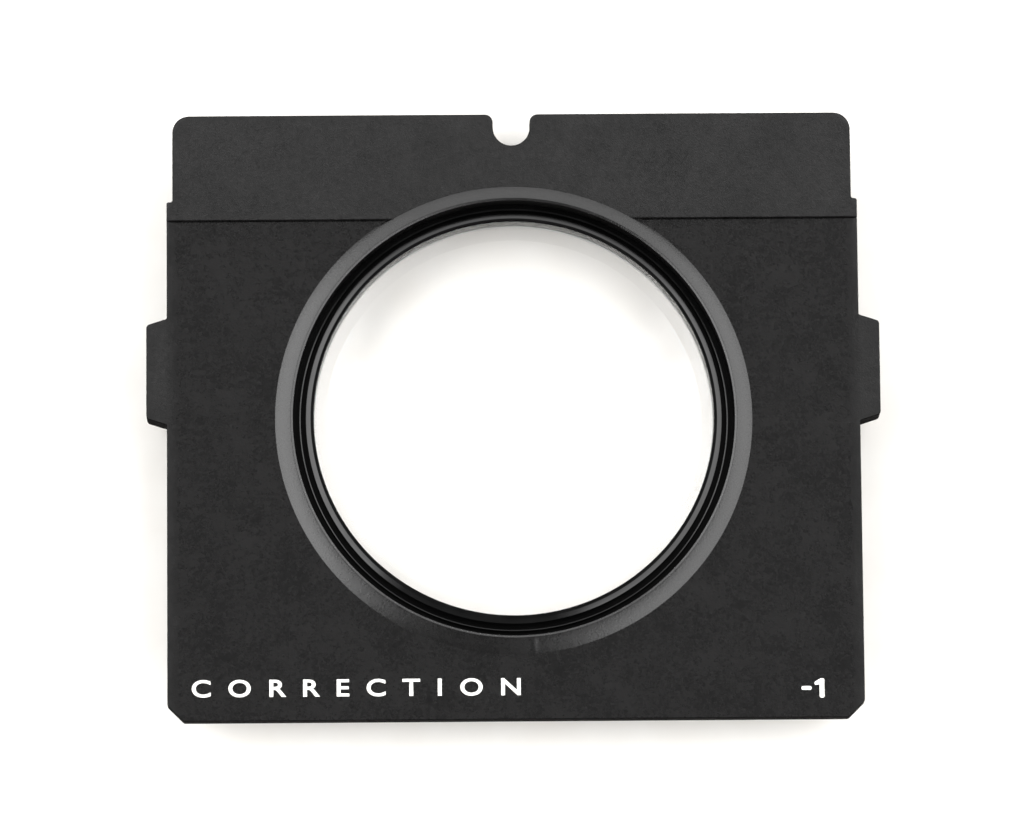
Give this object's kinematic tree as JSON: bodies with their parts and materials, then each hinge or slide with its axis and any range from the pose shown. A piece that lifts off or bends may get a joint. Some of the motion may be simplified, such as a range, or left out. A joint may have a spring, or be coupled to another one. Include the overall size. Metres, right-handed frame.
{
  "type": "finder magnifier plate",
  "caption": "Slide-in black plate with a raised round bezel, a snap-ring-held convex magnifier lens, a notched tongue and two finger tabs.",
  "frame": {"origin": "Middle of the plate's outline in X and Y, on the plane that the rear rim of the lens cell stands on.", "axes": "+Z out of the printed face along the lens axis, +Y towards the notched edge of the tongue, +X across the plate from tab to tab."},
  "size_m": [0.05, 0.0418, 0.0043],
  "materials": {
    "moulded_plate": "fine spark-eroded satin, charcoal black",
    "clear_lens": "polished and clear, with a fine ground edge",
    "black_ring": "semi-gloss black, turned look"
  },
  "bodies": {
    "root": {"lens_plate": "moulded_plate", "magnifier_lens": "clear_lens", "retaining_ring": "black_ring"}
  },
  "joints": []
}
